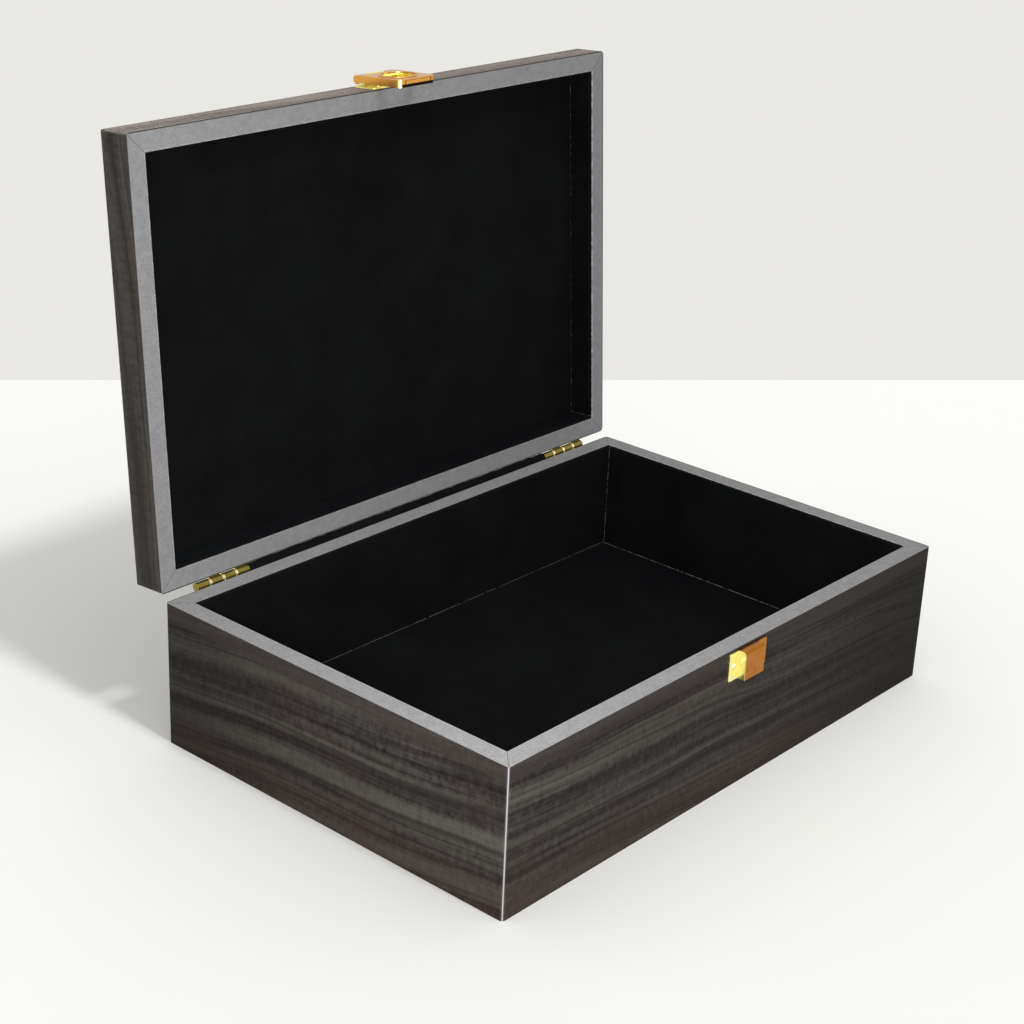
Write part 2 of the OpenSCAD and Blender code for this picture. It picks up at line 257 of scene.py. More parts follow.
LAMINATE_DEEP = srgb(24, 20, 19)
LAMINATE_DARK = srgb(43, 38, 36)
LAMINATE_MID = srgb(63, 59, 55)
LAMINATE_PALE = srgb(82, 79, 73)
LAMINATE_RED = srgb(58, 42, 38)
GRAIN_STOPS = [(0.37, LAMINATE_DEEP), (0.44, LAMINATE_DARK), (0.52, LAMINATE_MID), (0.64, LAMINATE_PALE)]
SWAY_CELLS = 4.0
GRAIN_SWAY = 22 * MM
GRAIN_SLANT = 0.06
BAND_CELLS = (3.5, 150)
BAND_SHARE = 0.5
STREAK_CELLS = (14, 720)
STREAK_SHARE = 0.2
MOTTLE_CELLS = (380, 190)
MOTTLE_SHARE = 0.3
SEAM_CELLS = (2.5, 95)
SEAM_WIDTH = 0.045
SEAM_SHARE = 0.6
RED_CELLS = 16.0
RED_SHARE = 0.2
LOW_RED_TOP = 22 * MM
LOW_RED_FULL = 4 * MM
LOW_RED_SHARE = 0.35


def grain_colour(shader, along, across, height, seed):
    """Printed wood grain: slanting dark bands, finer streaks, dark seams, a soft mottle and red patches."""
    waves = shader.minus(shader.noise(shader.vector(along, across, seed), SWAY_CELLS, detail=2.0), 0.5)
    sway = shader.plus(shader.times(waves, GRAIN_SWAY), shader.times(along, GRAIN_SLANT))
    level = shader.plus(across, sway)
    bands = shader.drawn_noise(along, level, seed, BAND_CELLS, 2.0, 0.5)
    streaks = shader.drawn_noise(along, level, seed + 3, STREAK_CELLS, 3.0, 0.6)
    mottle = shader.drawn_noise(along, across, seed + 7, MOTTLE_CELLS, 4.0, 0.75)
    tone = shader.plus(shader.times(bands, BAND_SHARE), shader.times(streaks, STREAK_SHARE))
    tone = shader.plus(tone, shader.times(mottle, MOTTLE_SHARE))
    colour = shader.ramp(tone, GRAIN_STOPS)
    seam = shader.drawn_noise(along, level, seed + 17, SEAM_CELLS, 1.0)
    seam = shader.step(shader.distance(seam, 0.5), SEAM_WIDTH, 0.0, 0.0, SEAM_SHARE)
    colour = shader.mix(seam, colour, LAMINATE_DEEP)
    red = shader.noise(shader.vector(along, height, seed + 11), RED_CELLS, detail=2.0)
    red = shader.step(red, 0.45, 0.7, 0.0, RED_SHARE)
    low = shader.step(height, LOW_RED_TOP, LOW_RED_FULL, 0.0, LOW_RED_SHARE)
    return shader.mix(shader.plus(red, low, clamp=True), colour, LAMINATE_RED), tone


# Boards: tones of the grain, paint, and how wide each mark is where it ends and where it is full

BASE_TONE = (0.56, 0.56, 0.56, 1)
LID_TONE = (0.52, 0.52, 0.52, 1)
# Lighter, pinker tone of the open lid's front strip, which paints the light that falls on it from above.
LIT_STRIP_TONE = (0.85, 0.75, 0.72, 1)
GRIT = srgb(150, 142, 140)
GRIT_CELLS = 1500.0
GRIT_SHARE = 0.02
# Raised share of pale grit on that strip: a painted sparkle of light.
STRIP_GRIT_AND_SPARKLE_SHARE = 0.2
INNER_DARK = srgb(20, 20, 21)
RIM_DARK = srgb(92, 92, 92)
RIM_PALE = srgb(134, 134, 134)
RIM_WORN_AND_LIT = srgb(188, 190, 192)
# Darker tone of the open lid's rim paint: painted shade.
LID_RIM_SHADE = (0.72, 0.72, 0.74, 1)
RIM_END = 0.5 * MM
RIM_FULL = 0.3 * MM
FLAT_START = 0.5
FLAT_FULL = 0.6
FADE_START = -0.1
FLECK_CELLS = 2400.0
FLECK_SHARE = 0.85
CLOUD_CELLS = 260.0
RUB_CELLS = 220.0
DARK_BAND_END = 8 * MM
DARK_BAND_FULL = 6.5 * MM
DARK_BAND_SHARE = 0.55
ARRIS_END = 1.3 * MM
ARRIS_FULL = 0.7 * MM
ARRIS_SHARE = 0.5
# Painted highlight down the base's front left corner, with the widths of its mask.
CORNER_HIGHLIGHT = srgb(136, 137, 143)
CORNER_END = 4 * MM
CORNER_FULL = 2 * MM
CORNER_HIGHLIGHT_END = 0.88 * MM
CORNER_HIGHLIGHT_FULL = 0.64 * MM
CORNER_HIGHLIGHT_SHARE = 0.85
BASE_SKIN_T = 0.42 * MM
LID_SKIN_T = 0.62 * MM
SKIN_BLUR = 0.25 * MM
WORN_AND_LIT_END = 0.65 * MM
WORN_AND_LIT_FULL = 0.35 * MM
MITRE_END = 0.3 * MM
MITRE_FULL = 0.1 * MM
MITRE_SHARE = 0.75
INSIDE_START = 0.3 * MM
INSIDE_FULL = 0.1 * MM
LID_GLOSS = 0.15
BASE_GLOSS = 0.05


class BoardShader(Shader):
    """Shader of one board, with the distances that its marks are made of."""

    def __init__(self, name, opened):
        super().__init__(name)
        self.opened = opened
        self.place, normal = self.coordinates(opened)
        self.x, self.y, self.z = self.split(self.place)
        self.up = self.split(normal)[Z_AXIS]
        self.far_x = self.minus(HALF_W, self.math("ABSOLUTE", self.x))
        self.far_y = self.minus(HALF_D, self.math("ABSOLUTE", self.y))
        self.outer = self.math("MINIMUM", self.far_x, self.far_y)
        self.rim_z = LID_LOW if opened else BASE_H

    def rim_mask(self):
        """Mask of the rim, which faces the other half of the case."""
        near = self.step(self.distance(self.z, self.rim_z), RIM_END, RIM_FULL)
        flat = self.step(self.math("ABSOLUTE", self.up), FLAT_START, FLAT_FULL)
        return self.times(near, flat)


def laminate(board, along_axis, seed, tone, painted_falloff, panel, grit_and_sparkle_share):
    """Grain of a board's outer faces, with grit and bare arrises, and the height of its streaks. It also
    paints light: shade that darkens some boards' grain towards their far end, a highlight down the base's
    front left corner, and sparkle in the grit of the lid's front strip.
    """
    along = board.x if along_axis == "x" else board.y
    side = board.plus(board.z, board.y if panel else board.outer)
    grain, streaks = grain_colour(board, along, side, board.z, seed)
    grain = board.tinted(grain, tone)
    # Painted shade: the grain darkens towards the board's far end.
    if painted_falloff < 1:
        half = HALF_W if along_axis == "x" else HALF_D
        grain = board.tinted(grain, board.step(along, FADE_START * half, half, 1.0, painted_falloff))
    if not board.opened:
        depth = board.minus(board.rim_z, board.z)
        band = board.step(depth, DARK_BAND_END, DARK_BAND_FULL, 0.0, DARK_BAND_SHARE)
        grain = board.mix(band, grain, LAMINATE_DARK)
    # Pale grit of the embossed print; where its share is raised, on the lid's front strip, it is a painted
    # sparkle.
    grit_and_sparkle = board.noise(board.place, GRIT_CELLS, detail=2.0)
    grain = board.mix(board.step(grit_and_sparkle, 0.5, 0.62, 0.0, grit_and_sparkle_share), grain, GRIT)
    arris = board.math("MAXIMUM", board.far_x, board.far_y)
    grain = board.mix(board.step(arris, ARRIS_END, ARRIS_FULL, 0.0, ARRIS_SHARE), grain, LAMINATE_PALE)
    # Painted highlight down the base's front left corner.
    if not board.opened:
        grain = board.mix(front_left_highlight(board, arris), grain, CORNER_HIGHLIGHT)
    return grain, streaks


def front_left_highlight(board, arris):
    """Mask of a painted highlight along the base's front left corner."""
    towards = board.minus(0.0, board.plus(board.x, board.y))
    corner = board.step(towards, HALF_W + HALF_D - CORNER_END, HALF_W + HALF_D - CORNER_FULL)
    line = board.step(arris, CORNER_HIGHLIGHT_END, CORNER_HIGHLIGHT_FULL, 0.0, CORNER_HIGHLIGHT_SHARE)
    return board.times(corner, line)


def rim_paint(board, fleck, wear_and_highlight):
    """Grey paint of a rim, with a dark skin outside, a pale inner arris and a line at each mitre. The pale
    arris is worn paint, and where its share is high, on the right boards, also a painted highlight.
    """
    cloud = board.noise(board.place, CLOUD_CELLS)
    mottle = board.plus(board.times(fleck, FLECK_SHARE), board.times(cloud, 1 - FLECK_SHARE))
    paint = board.ramp(mottle, [(0.36, RIM_DARK), (0.64, RIM_PALE)])
    # Painted shade on the open lid's rim.
    if board.opened:
        paint = board.tinted(paint, LID_RIM_SHADE)
    skin_t = LID_SKIN_T if board.opened else BASE_SKIN_T
    skin = board.step(board.outer, skin_t - SKIN_BLUR, skin_t)
    paint = board.mix(skin, LAMINATE_DARK, paint)
    rubbed = board.noise(board.place, RUB_CELLS, detail=2.0)
    # Pale inner arris: worn paint, and a painted highlight where its share is high.
    worn_and_lit = board.step(board.outer, BOARD_T - WORN_AND_LIT_END, BOARD_T - WORN_AND_LIT_FULL)
    worn_and_lit = board.times(worn_and_lit, board.step(rubbed, 0.42, 0.6, 0.1 * wear_and_highlight, wear_and_highlight))
    paint = board.mix(worn_and_lit, paint, RIM_WORN_AND_LIT)
    mitre = board.distance(board.far_x, board.far_y)
    return board.mix(board.step(mitre, MITRE_END, MITRE_FULL, 0.0, MITRE_SHARE), paint, LAMINATE_MID)


def board_material(name, along_axis, seed, opened, wear_and_highlight, tone, painted_falloff=1.0, panel=False,
                   grit_and_sparkle_share=GRIT_SHARE):
    """One board: printed grain outside, grey paint on the rim, dark inside.

    The wear value is how pale the rim's inner arris is: worn paint, and on the right boards also a painted
    highlight. tone is the colour that the grain is multiplied by, and the far tone is the share of it that
    is left at the board's far end: painted shade, as light falls off along the board. A panel has its grain
    over its whole face. The grit share is how much the embossed print's pale grit shows; on the lid's front
    strip it is raised into a painted sparkle of light.
    """
    board = BoardShader(name, opened)
    grain, streaks = laminate(board, along_axis, seed, tone, painted_falloff, panel, grit_and_sparkle_share)
    rim = board.rim_mask()
    fleck = board.noise(board.place, FLECK_CELLS, roughness=0.75)
    colour = board.mix(rim, grain, rim_paint(board, fleck, wear_and_highlight))
    if not panel:
        inside = board.step(board.outer, BOARD_T - INSIDE_START, BOARD_T - INSIDE_FULL)
        colour = board.mix(board.times(inside, board.minus(1.0, rim)), colour, INNER_DARK)
    board.put("Base Color", colour)
    board.put("Roughness", board.between(rim, board.step(streaks, 0.35, 0.65, 0.5, 0.62), 0.5))
    board.put("Specular IOR Level", LID_GLOSS if opened else BASE_GLOSS)
    pores = board.bump(streaks, 0.35, 0.25 * MM)
    board.put("Normal", board.bump(fleck, 0.25, 0.12 * MM, pores))
    return board.material


def floor_board_material(name):
    """Dark fibreboard on the underside, with fine fibres."""
    shader = Shader(name)
    place, _ = shader.coordinates(False)
    fibres = shader.noise(place, 900.0, detail=4.0, roughness=0.7)
    cloud = shader.noise(place, 40.0)
    tone = shader.plus(shader.times(fibres, 0.5), shader.times(cloud, 0.5))
    shader.put("Base Color", shader.ramp(tone, [(0.35, srgb(38, 31, 26)), (0.65, srgb(74, 60, 48))]))
    shader.put("Roughness", 0.75)
    shader.put("Normal", shader.bump(fibres, 0.4, 0.15 * MM))
    return shader.material


# Velvet

def velvet_material(name):
    """Short black pile: nearly black, with a very faint sheen and brushed patches."""
    shader = Shader(name)
    place, _ = shader.coordinates(False)
    brushed = shader.noise(place, 34.0, detail=4.0, roughness=0.6)
    pile = shader.noise(place, 2600.0, detail=2.0, roughness=0.7)
    tone = shader.plus(shader.times(brushed, 0.6), shader.times(pile, 0.4))
    shader.put("Base Color", shader.ramp(tone, [(0.35, srgb(4, 4, 5)), (0.65, srgb(9, 10, 10))]))
    shader.put("Roughness", 0.95)
    shader.put("Specular IOR Level", 0.04)
    shader.put("Sheen Weight", 0.005)
    shader.put("Sheen Roughness", 0.45)
    shader.put("Sheen Tint", srgb(150, 165, 205))
    shader.put("Normal", shader.bump(pile, 0.5, 0.3 * MM))
    return shader.material


def card_edge_material(name, bare):
    """Cut edge of a velvet card, where the pale backing shows through in a share of places."""
    shader = Shader(name)
    place, _ = shader.coordinates(False)
    gaps = shader.noise(place, 420.0, roughness=0.7)
    shows = shader.step(gaps, 0.62 - 0.3 * bare, 0.72 - 0.3 * bare)
    shader.put("Base Color", shader.mix(shows, srgb(12, 12, 14), srgb(172, 170, 166)))
    shader.put("Roughness", 0.9)
    shader.put("Normal", shader.bump(gaps, 0.4, 0.1 * MM))
    return shader.material


# Brass

# Near-black brown for painted shade on metal.
PAINTED_SHADE_BROWN = srgb(30, 17, 7)
MARK_CELLS = (500, 2600, 2600)


def brass_material(name, tint, shine, opened=False, pale=None, pale_tint=None, painted_shade_mask=None):
    """Bright gold-coloured plate with fine rubbing marks and slightly duller clouds.

    shine is the roughness. pale makes the mask of painted light on the plate in pale_tint, as highlights and
    reflections, from the shader and a place, and the other mask paints shade on the plate in a near-black
    brown.
    """
    shader = Shader(name)
    place, _ = shader.coordinates(opened)
    x, y, z = shader.split(place)
    cloud = shader.noise(place, CLOUD_CELLS)
    marks = [shader.times(value, cells) for value, cells in zip((x, y, z), MARK_CELLS)]
    rubs = shader.noise(shader.vector(*marks), 1.0, detail=2.0)
    lighter = [min(255, value + 14) for value in tint]
    colour = shader.ramp(cloud, [(0.3, srgb(*tint)), (0.7, srgb(*lighter))])
    # Painted light: highlights and reflections in a pale tint.
    if pale:
        colour = shader.mix(pale(shader, x, y, z), colour, srgb(*pale_tint))
    # Painted shade in a near-black brown.
    if painted_shade_mask:
        colour = shader.mix(painted_shade_mask(shader, x, y, z), colour, PAINTED_SHADE_BROWN)
    shader.put("Base Color", colour)
    shader.put("Metallic", 1.0)
    shader.put("Roughness", shader.step(cloud, 0.3, 0.75, shine, shine + 0.12))
    shader.put("Normal", shader.bump(rubs, 0.12, 0.05 * MM))
    return shader.material


def knuckle_highlights(shader, x, y, z):
    """Mask of painted highlights at the ends where two knuckles meet, on the barrels of both hinges."""
    middle = shader.distance(shader.math("ABSOLUTE", x), HINGE_X)
    turn = shader.math("DIVIDE", middle, HINGE_W / KNUCKLES)
    off = shader.distance(turn, shader.math("ROUND", turn))
    back = shader.math("POWER", shader.minus(y, PIVOT.y), 2.0)
    up = shader.math("POWER", shader.minus(z, PIVOT.z), 2.0)
    radius = shader.math("SQRT", shader.plus(back, up))
    barrel = shader.step(radius, BARREL_R + 0.4 * MM, BARREL_R + 0.2 * MM)
    inner = shader.step(turn, OUTER_JOINT_END, OUTER_JOINT_FULL)
    joint = shader.step(off, JOINT_END, JOINT_FULL)
    return shader.times(shader.times(joint, inner), barrel)


def catch_side_highlight(shader, x, _y, _z):
    """Mask of a painted highlight on the catch's left flange and the left side of its block."""
    return shader.step(x, BLOCK_LEFT + 0.25 * MM, BLOCK_LEFT + 0.1 * MM)


def flap_inside_reflection(shader, x, y, z):
    """Mask of a painted reflection on the inside of the flap, behind its face and between its turned-in
    edges.
    """
    behind = shader.step(y, FLAP_FACE + 0.12 * MM, FLAP_FACE + 0.3 * MM)
    between = shader.step(shader.distance(x, LATCH_X), FLAP_HALF - 0.3 * MM, FLAP_HALF - 0.5 * MM)
    above = shader.step(z, FLAP_LO.z + 0.3 * MM, FLAP_LO.z + 0.5 * MM)
    return shader.times(behind, shader.times(between, above))


def lip_edge_shade(shader, _x, y, z):
    """Mask of painted shade on the inner edge of the flap's lower lip."""
    low = shader.step(z, FLAP_LO.z + 0.45 * MM, FLAP_LO.z + 0.3 * MM)
    return shader.times(low, shader.step(y, FLAP_FACE + 1.9 * MM, FLAP_FACE + 2.2 * MM))


# Hinge brass is darker and more olive, as painted shade of the dark surroundings it reflects, with painted
# highlights at the knuckle ends.
HINGE_BRASS = brass_material("hinge_brass", (136, 122, 56), 0.14, False, knuckle_highlights, (255, 244, 190))
# The catch's left side is painted paler than the rest of it, as a highlight.
CATCH_BRASS = brass_material("catch_brass", (172, 104, 20), 0.2, False, catch_side_highlight, (255, 246, 178))
# Paler copy of the brass for the plate and nails, which paints the bright light seen through the flap's
# window.
PLATE_BRASS = brass_material("plate_brass", (255, 236, 140), 0.45)
# The flap's inside is painted paler as a reflection, and its lip's inner edge near-black as shade.
HASP_BRASS = brass_material("hasp_brass", (212, 152, 66), 0.2, True, flap_inside_reflection, (255, 236, 150), lip_edge_shade)


# CAD nodes that keep their own shape

ARRIS_W = 0.14 * MM
BOARD_AXES = {"front": "x", "back": "x", "left": "y", "right": "y"}
# The right boards' pale inner arris is worn paint and also a painted highlight.
WORN_AND_LIT_SIDES = {"right": 0.7}
SLIGHT_WEAR = 0.12
# Share of the grain's tone left at the far end of the front and left walls: painted shade.
PAINTED_FALLOFF_TONES = {"front": 0.32, "left": 0.6}
LID_SEED = 20


def dress(node, material):
    """Gives a CAD node one material."""
    mesh = NODES[node].data
    mesh.materials.clear()
    mesh.materials.append(material)


def soften(node, width, angle=35):
    """Welds a CAD node's split edges and breaks its sharp arrises."""
    piece = NODES[node]
    piece.data.shade_smooth()
    weld = piece.modifiers.new("weld", "WELD")
    weld.merge_threshold = 0.002 * MM
    bevel = piece.modifiers.new("arris", "BEVEL")
    bevel.width = width
    bevel.segments = 2
    bevel.limit_method = "ANGLE"
    bevel.angle_limit = math.radians(angle)
    normals = piece.modifiers.new("normals", "WEIGHTED_NORMAL")
    normals.keep_sharp = True
    normals.weight = 80


def dress_boards():
    """Finishes of the four walls, the four rails, the lid's top and the floor board."""
    for number, (side, axis) in enumerate(BOARD_AXES.items()):
        wear_and_highlight = WORN_AND_LIT_SIDES.get(side, SLIGHT_WEAR)
        seed = 4.1 * number
        painted_falloff = PAINTED_FALLOFF_TONES.get(side, 1.0)
        base_finish = board_material(f"base_{side}_finish", axis, seed, False, wear_and_highlight, BASE_TONE, painted_falloff)
        dress(f"base_{side}_wall", base_finish)
        # The lid's front strip takes a lighter tone and more grit than the other rails: painted light and
        # sparkle.
        lid_tone = LIT_STRIP_TONE if side == "front" else LID_TONE
        grit_and_sparkle = STRIP_GRIT_AND_SPARKLE_SHARE if side == "front" else GRIT_SHARE
        lid_name = f"lid_{side}_finish"
        lid_seed = LID_SEED + seed
        lid_finish = board_material(lid_name, axis, lid_seed, True, wear_and_highlight, lid_tone, grit_and_sparkle_share=grit_and_sparkle)
        dress(f"lid_{side}_rail", lid_finish)
    dress("lid_top_board", board_material("lid_top_finish", "x", 47.0, True, 0.0, LID_TONE, panel=True))
    dress("base_floor_board", floor_board_material("floor_board_finish"))


def dress_metal():
    """Finishes of the hinges, the catch and the hasp, with soft arrises on their sheet parts."""
    for node in NODES:
        if "hinge" in node:
            dress(node, HINGE_BRASS)
        elif "catch" in node:
            dress(node, CATCH_BRASS)
        elif node in ("hasp_plate", "hasp_nails"):
            dress(node, PLATE_BRASS)
        elif "hasp" in node:
            dress(node, HASP_BRASS)
        is_sheet = any(word in node for word in ("leaf", "hasp_plate", "hasp_flap", "catch"))
        if is_sheet and "nails" not in node:
            soften(node, ARRIS_W)


dress_boards()
dress_metal()


# Pieces of the scene's own

def make_piece(name, build, materials, opened=False, smooth=False):
    """Object made of a bmesh, turned from the shut lid to the open one if opened."""
    bmesh.ops.recalc_face_normals(build, faces=build.faces)
    mesh = bpy.data.meshes.new(name)
    build.to_mesh(mesh)
    build.free()
    if smooth:
        mesh.shade_smooth()
    if opened:
        mesh.transform(opening())
    for material in materials:
        mesh.materials.append(material)
    piece = bpy.data.objects.new(name, mesh)
    bpy.context.scene.collection.objects.link(piece)
    return piece


def join_rings(build, first, second):
    """Faces between two rings of the same number of vertices."""
    for j in range(len(first)):
        k = (j + 1) % len(first)
        build.faces.new((first[j], first[k], second[k], second[j]))


# Lower lip of the flap, which closes the notch that its solid has for the catch's block

NOTCH_HALF = 7.5 * MM
LIP_LAP = 0.7 * MM
LIP_DEPTH = 3.4 * MM
LIP_T = 0.55 * MM
LIP_ARRIS = 0.35 * MM


def flap_lip():
    """Turned-in sheet that closes the gap in the flap's lower edge, with a rounded arris."""
    half = NOTCH_HALF + LIP_LAP
    low = FLAP_LO.z
    outline = [(FLAP_FACE, low + LIP_T), (FLAP_FACE, low + LIP_ARRIS)]
    for i in range(1, 4):
        turn = math.radians(30 * i)
        y = FLAP_FACE + LIP_ARRIS * (1 - math.cos(turn))
        outline.append((y, low + LIP_ARRIS * (1 - math.sin(turn))))
    outline += [(FLAP_FACE + LIP_DEPTH, low), (FLAP_FACE + LIP_DEPTH, low + LIP_T)]
    build = bmesh.new()
    ends = [[build.verts.new((LATCH_X + side * half, y, z)) for y, z in outline] for side in (-1, 1)]
    join_rings(build, *ends)
    build.faces.new(ends[0][::-1])
    build.faces.new(ends[1])
    piece = make_piece("hasp_flap_lip", build, [HASP_BRASS], opened=True)
    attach(piece, "hasp")


flap_lip()

# Velvet cards

VELVET = velvet_material("velvet")
CARD_ROUND = 0.5 * MM
PAD_ROUND = 0.8 * MM
CARD_WAVE = 0.06 * MM
CARD_CELL = 9 * MM
WAVES_A, WAVES_B = 95, 120
LONG_WAVES_A, LONG_WAVES_B = 41, 33
BORDER_FACES = 2
INWARD = {
    "front": Vector((0, 1, 0)),
    "back": Vector((0, -1, 0)),
    "left": Vector((1, 0, 0)),
    "right": Vector((-1, 0, 0)),
}
BARE_BORDERS = {"back": [(Z_AXIS, -1)], "left": [(Y_AXIS, -1)], "right": [(Y_AXIS, 1), (Z_AXIS, -1)]}
BARE_SHARES = {"back": 0.8, "right": 0.68}
LID_BARE_SHARE = 0.3


def card_lines(length, rounding):
    """Places across a card: close together in its rounded borders, wide apart between them."""
    border = [0, 0.3 * rounding, 0.65 * rounding, rounding]
    inner = max(1, round((length - 2 * rounding) / CARD_CELL))
    middle = [rounding + (length - 2 * rounding) * i / inner for i in range(1, inner)]
    return border + middle + [length - place for place in reversed(border)]


def card_height(place, length, rounding):
    """Height of a card's face, from 0 at its border to 1 inside it, as a quarter round."""
    edge = min(place, length - place)
    if edge >= rounding:
        return 1.0
    return math.sqrt(1 - (1 - edge / rounding) ** 2)


def border_ring(count_a, count_b):
    """Steps around the border of a grid of vertices, in order."""
    ring = [(i, 0) for i in range(count_a)] + [(count_a - 1, j) for j in range(1, count_b)]
    ring += [(i, count_b - 1) for i in range(count_a - 2, -1, -1)]
    return ring + [(0, j) for j in range(count_b - 2, 0, -1)]


def velvet_card(name, node, inward, rounding, bare_sides, opened=False, bare=1.0):
    """Velvet-covered card in the space of a CAD node, with its face towards inward.

    bare_sides names the borders where the pale backing shows: each is a (axis, end) pair. bare is the
    share of such a border that shows it.
    """
    lo, hi = shut_box(node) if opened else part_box(node)
    normal_axis = max(range(3), key=lambda i: abs(inward[i]))
    axis_a, axis_b = [i for i in range(3) if i != normal_axis]
    size = hi - lo
    thick = size[normal_axis]
    towards = 1 if inward[normal_axis] > 0 else -1
    back = lo[normal_axis] if towards > 0 else hi[normal_axis]
    length_a, length_b = size[axis_a], size[axis_b]
    lines_a, lines_b = card_lines(length_a, rounding), card_lines(length_b, rounding)
    shake = random.Random(name)
    phases = [shake.uniform(0, math.tau) for _ in range(3)]
    build = bmesh.new()

    def corner(a, b, depth):
        place = Vector((0, 0, 0))
        place[axis_a] = lo[axis_a] + a
        place[axis_b] = lo[axis_b] + b
        place[normal_axis] = back + towards * depth
        return build.verts.new(place)

    def face_depth(a, b):
        rise = card_height(a, length_a, rounding) * card_height(b, length_b, rounding)
        wave = math.sin(a * WAVES_A + phases[0]) * math.sin(b * WAVES_B + phases[1])
        wave += math.sin(a * LONG_WAVES_A + b * LONG_WAVES_B + phases[2])
        inset = CARD_WAVE * (1 - 0.5 * wave) * rise
        return thick - rounding * (1 - rise) - inset

    face = [[corner(a, b, face_depth(a, b)) for b in lines_b] for a in lines_a]
    rear = [[corner(a, b, 0) for b in lines_b] for a in lines_a]
    last_a, last_b = len(lines_a) - 1, len(lines_b) - 1
    for i in range(last_a):
        for j in range(last_b):
            quad = build.faces.new((face[i][j], face[i + 1][j], face[i + 1][j + 1], face[i][j + 1]))
            in_border = {
                (axis_a, -1): i < BORDER_FACES,
                (axis_a, 1): i >= last_a - BORDER_FACES,
                (axis_b, -1): j < BORDER_FACES,
                (axis_b, 1): j >= last_b - BORDER_FACES,
            }
            if any(in_border[side] for side in bare_sides):
                quad.material_index = 1
            build.faces.new((rear[i][j + 1], rear[i + 1][j + 1], rear[i + 1][j], rear[i][j]))
    ring = border_ring(len(lines_a), len(lines_b))
    join_rings(build, [rear[i][j] for i, j in ring], [face[i][j] for i, j in ring])
    materials = [VELVET, card_edge_material(f"{name}_cut", bare)]
    piece = make_piece(name, build, materials, opened, smooth=True)
    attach(piece, "lid" if opened else "base")
    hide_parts(node)
    return piece


def line_case():
    """Velvet cards on the walls and the rails, the floor pad and the card in the lid's top."""
    for side, inward in INWARD.items():
        borders = BARE_BORDERS.get(side, [])
        share = BARE_SHARES.get(side, 1.0)
        velvet_card(f"base_{side}_velvet", f"base_{side}_liner", inward, CARD_ROUND, borders, bare=share)
        lid_borders = [(axis, -end) if axis == Z_AXIS else (axis, end) for axis, end in borders]
        lid_name = f"lid_{side}_velvet"
        velvet_card(lid_name, f"lid_{side}_liner", inward, CARD_ROUND, lid_borders, True, LID_BARE_SHARE)
    floor_pad = velvet_card("base_floor_velvet", "base_floor_pad", Vector((0, 0, 1)), PAD_ROUND, [])
    velvet_card("lid_top_velvet", "lid_top_liner", Vector((0, 0, -1)), CARD_ROUND, [], True)


line_case()

# Black cloth strip that closes the gap between the hinges: a dark sheet put where there is shade

STRIP_T = 0.5 * MM
STRIP_LOW = BASE_H - 9 * MM
STRIP_PLAY = 0.4 * MM
GLUE_T = 0.02 * MM
ROLL_R = 2.25 * MM
ROLL_START = -125
ROLL_TURN = 290
ROLL_STEPS = 14
STRIP_STATIONS = 60
STRIP_PULL = 0.04


def gap_strip():
    """Black strip that stands in for shade in the gap, glued to the back wall, with a rolled edge about the
    hinges' axis.
    """
    half = HINGE_X - HINGE_W / 2 - STRIP_PLAY
    wall = HALF_D + GLUE_T
    outline = [(wall, STRIP_LOW), (wall + STRIP_T, STRIP_LOW)]
    for i in range(ROLL_STEPS + 1):
        turn = math.radians(ROLL_START + ROLL_TURN * i / ROLL_STEPS)
        outline.append((PIVOT.y + ROLL_R * math.cos(turn), PIVOT.z + ROLL_R * math.sin(turn)))
    outline.append((wall, PIVOT.z - STRIP_PLAY))
    shake = random.Random("gap strip")
    build = bmesh.new()
    rings = []
    for i in range(STRIP_STATIONS + 1):
        x = half * (2 * i / STRIP_STATIONS - 1)
        pull = 1 - STRIP_PULL * shake.random()
        rings.append([build.verts.new((x, wall + max(0.0, y - wall) * pull, z)) for y, z in outline])
    for first, second in zip(rings, rings[1:]):
        join_rings(build, first, second)
    build.faces.new(rings[0][::-1])
    build.faces.new(rings[-1])
    piece = make_piece("gap_strip", build, [VELVET], smooth=True)
    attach(piece, "base")


gap_strip()

# Camera, as fitted to the photograph

CAMERA_PLACE = Vector((-0.6644, -0.5396, 0.4556))
CAMERA_AZIMUTH = math.radians(49.201)
CAMERA_DOWN = math.radians(22.746)
CAMERA_ROLL = math.radians(2.44)
FOCAL_PX = 2074.4
IMAGE_PX = 1024
SENSOR_MM = 36
CLIP_NEAR = 0.01
CLIP_FAR = 60


def camera_axes():
    """Directions to the right, to the top and forward as the camera sees them."""
    forward = Vector((
        math.sin(CAMERA_AZIMUTH) * math.cos(CAMERA_DOWN),
        math.cos(CAMERA_AZIMUTH) * math.cos(CAMERA_DOWN),
        -math.sin(CAMERA_DOWN),
    ))
    level = Vector((math.cos(CAMERA_AZIMUTH), -math.sin(CAMERA_AZIMUTH), 0))
    upright = level.cross(forward)
    right = level * math.cos(CAMERA_ROLL) + upright * math.sin(CAMERA_ROLL)
    top = -level * math.sin(CAMERA_ROLL) + upright * math.cos(CAMERA_ROLL)
    return right, top, forward


RIGHT, TOP, FORWARD = camera_axes()


def make_camera():
    data = bpy.data.cameras.new("camera")
    data.sensor_width = SENSOR_MM
    data.lens = FOCAL_PX * SENSOR_MM / IMAGE_PX
    data.clip_start = CLIP_NEAR
    data.clip_end = CLIP_FAR
    camera = bpy.data.objects.new("camera", data)
    axes = Matrix((RIGHT, TOP, -FORWARD)).transposed().to_4x4()
    camera.matrix_world = Matrix.Translation(CAMERA_PLACE) @ axes
    bpy.context.scene.collection.objects.link(camera)
    bpy.context.scene.camera = camera


make_camera()

# Stage and light

